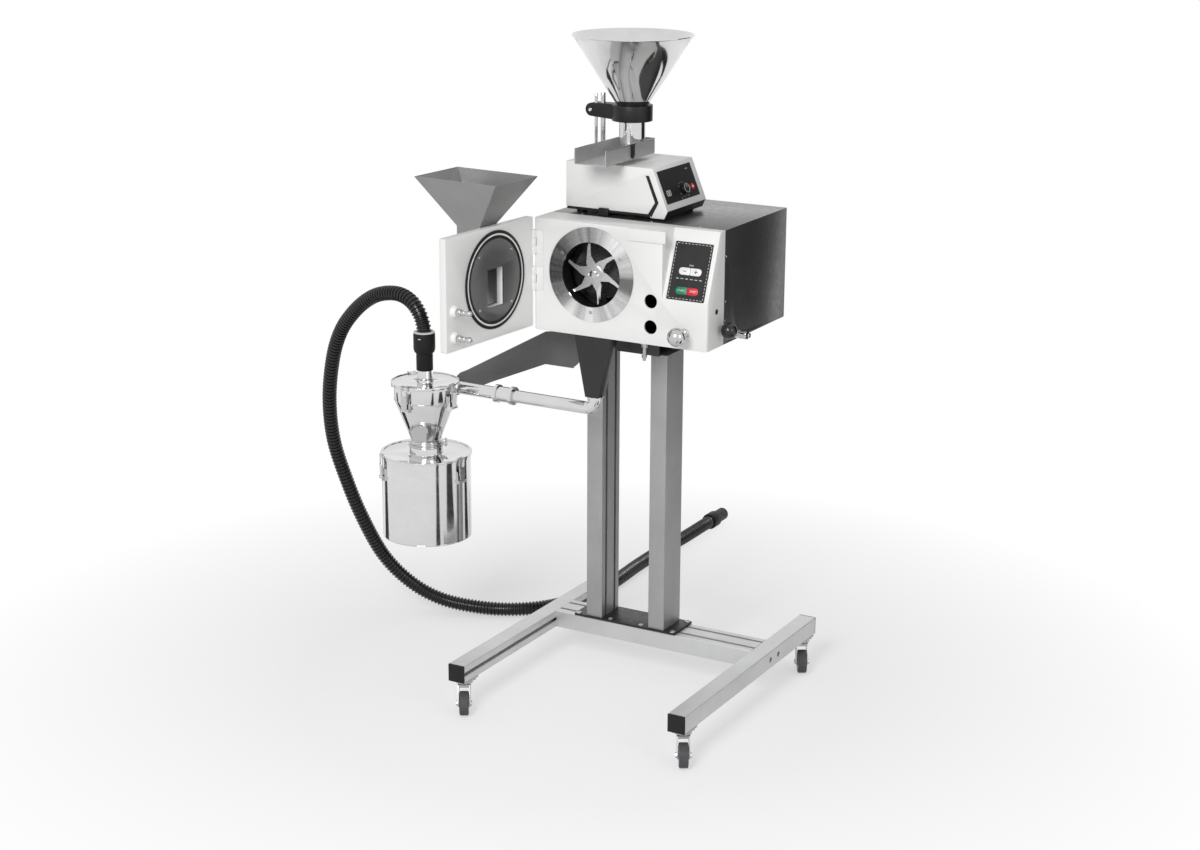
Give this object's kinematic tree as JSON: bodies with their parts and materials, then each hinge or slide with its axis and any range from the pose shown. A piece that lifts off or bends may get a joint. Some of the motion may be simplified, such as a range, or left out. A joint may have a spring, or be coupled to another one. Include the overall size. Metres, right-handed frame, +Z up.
{
  "type": "laboratory rotor mill on a mobile stand",
  "caption": "Laboratory rotor mill on a wheeled aluminium stand, with its door open, a hopper, a vibratory feeder and funnel on top, and a cyclone with a collecting can and hose.",
  "frame": {"origin": "on the floor, in the middle of the outline of the part without its hose", "axes": "+Z up, the front of the mill faces -Y, +X to the right when seen from the front"},
  "size_m": [1.3029, 1.7282, 1.625],
  "materials": {
    "beam_aluminium": "clear anodised, fine lengthwise extrusion lines",
    "black_plastic": "moulded, fine grain",
    "black_steel": "powder coated, fine texture",
    "grey_paint": "powder coated dark grey, fine texture",
    "zinc": "bright zinc plate",
    "grey_wheel": "grey non-marking tread",
    "white_paint": "white structured paint, semi gloss",
    "motor_paint": "cast housing, satin paint",
    "satin_steel": "ground stainless sheet",
    "polished_steel": "polished stainless steel",
    "sieve_steel": "perforated stainless sheet",
    "membrane": "printed membrane, satin",
    "grey_key": "light grey",
    "green_key": "green",
    "red_key": "red",
    "knob_chrome": "bright turned metal",
    "lever_black": "polished black ball on a plated rod",
    "black_rubber": "matt moulded rubber",
    "hose_plastic": "ribbed black plastic"
  },
  "bodies": {
    "stand": {"base_beams": "beam_aluminium", "end_caps": "black_plastic", "base_plate": "black_steel", "columns": "beam_aluminium", "mount_tray": "grey_paint", "bracket_arm": "grey_paint", "caster_plates": "zinc", "rear_hood": "grey_paint", "front_shell": "white_paint", "drive_motor": "motor_paint", "ring_sieve": "sieve_steel", "chamber_housing": "satin_steel", "chamber_ring": "polished_steel", "hinge_brackets": "white_paint", "control_panel": "membrane", "outlet_chute": "grey_paint", "outlet_pipe": "polished_steel", "cyclone_body": "polished_steel", "cyclone_lid": "polished_steel", "can": "polished_steel", "can_lid": "polished_steel", "feeder_base": "black_plastic", "feeder_housing": "white_paint", "feeder_panel": "membrane", "guide_rods": "polished_steel", "hose_cuff": "black_rubber", "hose": "hose_plastic", "hose_far_cuff": "black_rubber"},
    "rotor": {"rotor": "polished_steel"},
    "door": {"door_panel": "white_paint", "door_seals": "black_rubber", "door_insert": "satin_steel", "lock_pins": "polished_steel", "hopper": "satin_steel"},
    "lock_knob": {"lock_knob": "knob_chrome"},
    "side_lever": {"side_lever": "lever_black"},
    "minus_key": {"minus_key": "grey_key"},
    "plus_key": {"plus_key": "grey_key"},
    "start_key": {"start_key": "green_key"},
    "stop_key": {"stop_key": "red_key"},
    "feeder_dial": {"feeder_dial": "knob_chrome"},
    "feeder_start_key": {"feeder_start_key": "green_key"},
    "feeder_stop_key": {"feeder_stop_key": "red_key"},
    "caster_fl": {"caster_fork_fl": "zinc"},
    "caster_fr": {"caster_fork_fr": "zinc"},
    "caster_bl": {"caster_fork_bl": "zinc"},
    "caster_br": {"caster_fork_br": "zinc"},
    "wheel_fl": {"caster_wheel_fl": "grey_wheel"},
    "wheel_fr": {"caster_wheel_fr": "grey_wheel"},
    "wheel_bl": {"caster_wheel_bl": "grey_wheel"},
    "wheel_br": {"caster_wheel_br": "grey_wheel"},
    "cyclone_latch_front": {"cyclone_latch_front": "polished_steel"},
    "cyclone_latch_right": {"cyclone_latch_right": "polished_steel"},
    "cyclone_latch_back": {"cyclone_latch_back": "polished_steel"},
    "can_latch_front": {"can_latch_front": "polished_steel"},
    "can_latch_right": {"can_latch_right": "polished_steel"},
    "can_latch_back": {"can_latch_back": "polished_steel"},
    "funnel_slide": {"clamp_arm": "black_plastic", "funnel": "polished_steel"},
    "trough": {"feeder_trough": "satin_steel"}
  },
  "joints": [
    {"name": "door_hinge", "type": "hinge", "parent": "stand", "child": "door", "pos_m": [-0.08636, -0.05293, 1.0665], "axis": [0, 0, 1], "range_deg": [-16, 94]},
    {"name": "rotor_spin", "type": "hinge", "parent": "stand", "child": "rotor", "pos_m": [0.07164, -0.03543, 1.0735], "axis": [0, 1, 0], "continuous": true},
    {"name": "lock_knob_turn", "type": "hinge", "parent": "stand", "child": "lock_knob", "pos_m": [0.32564, -0.04893, 0.961], "axis": [0, 1, 0], "range_deg": [0, 90]},
    {"name": "side_lever_turn", "type": "hinge", "parent": "stand", "child": "side_lever", "pos_m": [0.38364, 0.10307, 0.936], "axis": [-1, 0, 0], "range_deg": [0, 70]},
    {"name": "minus_key_press", "type": "slide", "parent": "stand", "child": "minus_key", "axis": [0, 0.9361, -0.3517], "range_m": [0, 0.0006], "stiffness_N_per_m": 600},
    {"name": "plus_key_press", "type": "slide", "parent": "stand", "child": "plus_key", "axis": [0, 0.9361, -0.3517], "range_m": [0, 0.0006], "stiffness_N_per_m": 600},
    {"name": "start_key_press", "type": "slide", "parent": "stand", "child": "start_key", "axis": [0, 0.9361, -0.3517], "range_m": [0, 0.0006], "stiffness_N_per_m": 600},
    {"name": "stop_key_press", "type": "slide", "parent": "stand", "child": "stop_key", "axis": [0, 0.9361, -0.3517], "range_m": [0, 0.0006], "stiffness_N_per_m": 600},
    {"name": "feeder_start_key_press", "type": "slide", "parent": "stand", "child": "feeder_start_key", "axis": [-0.9253, 0, -0.3794], "range_m": [0, 0.0006], "stiffness_N_per_m": 600},
    {"name": "feeder_stop_key_press", "type": "slide", "parent": "stand", "child": "feeder_stop_key", "axis": [-0.9253, 0, -0.3794], "range_m": [0, 0.0006], "stiffness_N_per_m": 600},
    {"name": "feeder_dial_turn", "type": "hinge", "parent": "stand", "child": "feeder_dial", "pos_m": [0.20746, 0.15907, 1.26101], "axis": [0.9253, 0, 0.3794], "range_deg": [-150, 150]},
    {"name": "caster_fl_swivel", "type": "hinge", "parent": "stand", "child": "caster_fl", "pos_m": [-0.13936, -0.30092, 0.08], "axis": [0, 0, 1], "continuous": true},
    {"name": "wheel_fl_roll", "type": "hinge", "parent": "caster_fl", "child": "wheel_fl", "pos_m": [-0.12436, -0.32691, 0.03], "axis": [0.866, 0.5, 0], "continuous": true},
    {"name": "caster_fr_swivel", "type": "hinge", "parent": "stand", "child": "caster_fr", "pos_m": [0.46664, -0.30092, 0.08], "axis": [0, 0, 1], "continuous": true},
    {"name": "wheel_fr_roll", "type": "hinge", "parent": "caster_fr", "child": "wheel_fr", "pos_m": [0.48164, -0.32691, 0.03], "axis": [0.866, 0.5, 0], "continuous": true},
    {"name": "caster_bl_swivel", "type": "hinge", "parent": "stand", "child": "caster_bl", "pos_m": [-0.13936, 0.36307, 0.08], "axis": [0, 0, 1], "continuous": true},
    {"name": "wheel_bl_roll", "type": "hinge", "parent": "caster_bl", "child": "wheel_bl", "pos_m": [-0.12436, 0.33709, 0.03], "axis": [0.866, 0.5, 0], "continuous": true},
    {"name": "caster_br_swivel", "type": "hinge", "parent": "stand", "child": "caster_br", "pos_m": [0.46664, 0.36307, 0.08], "axis": [0, 0, 1], "continuous": true},
    {"name": "wheel_br_roll", "type": "hinge", "parent": "caster_br", "child": "wheel_br", "pos_m": [0.48164, 0.33709, 0.03], "axis": [0.866, 0.5, 0], "continuous": true},
    {"name": "cyclone_latch_front_swing", "type": "hinge", "parent": "stand", "child": "cyclone_latch_front", "pos_m": [-0.38748, -0.17767, 0.703], "axis": [0.9994, -0.0349, 0], "range_deg": [0, 110]},
    {"name": "cyclone_latch_right_swing", "type": "hinge", "parent": "stand", "child": "cyclone_latch_right", "pos_m": [-0.29519, -0.0931, 0.703], "axis": [0.0523, 0.9986, 0], "range_deg": [0, 110]},
    {"name": "cyclone_latch_back_swing", "type": "hinge", "parent": "stand", "child": "cyclone_latch_back", "pos_m": [-0.45926, -0.03979, 0.703], "axis": [-0.5446, -0.8387, 0], "range_deg": [0, 110]},
    {"name": "can_latch_front_swing", "type": "hinge", "parent": "stand", "child": "can_latch_front", "pos_m": [-0.45781, -0.18243, 0.518], "axis": [0.788, -0.6157, 0], "range_deg": [0, 110]},
    {"name": "can_latch_right_swing", "type": "hinge", "parent": "stand", "child": "can_latch_right", "pos_m": [-0.26622, -0.10503, 0.518], "axis": [0.1392, 0.9903, 0], "range_deg": [0, 110]},
    {"name": "can_latch_back_swing", "type": "hinge", "parent": "stand", "child": "can_latch_back", "pos_m": [-0.42905, 0.02219, 0.518], "axis": [-0.9272, -0.3746, 0], "range_deg": [0, 110]},
    {"name": "funnel_height", "type": "slide", "parent": "stand", "child": "funnel_slide", "axis": [0, 0, 1], "range_m": [-0.02, 0.02]},
    {"name": "trough_shake", "type": "slide", "parent": "stand", "child": "trough", "axis": [0, 1, 0], "range_m": [-0.0006, 0.0006], "stiffness_N_per_m": 5000}
  ]
}
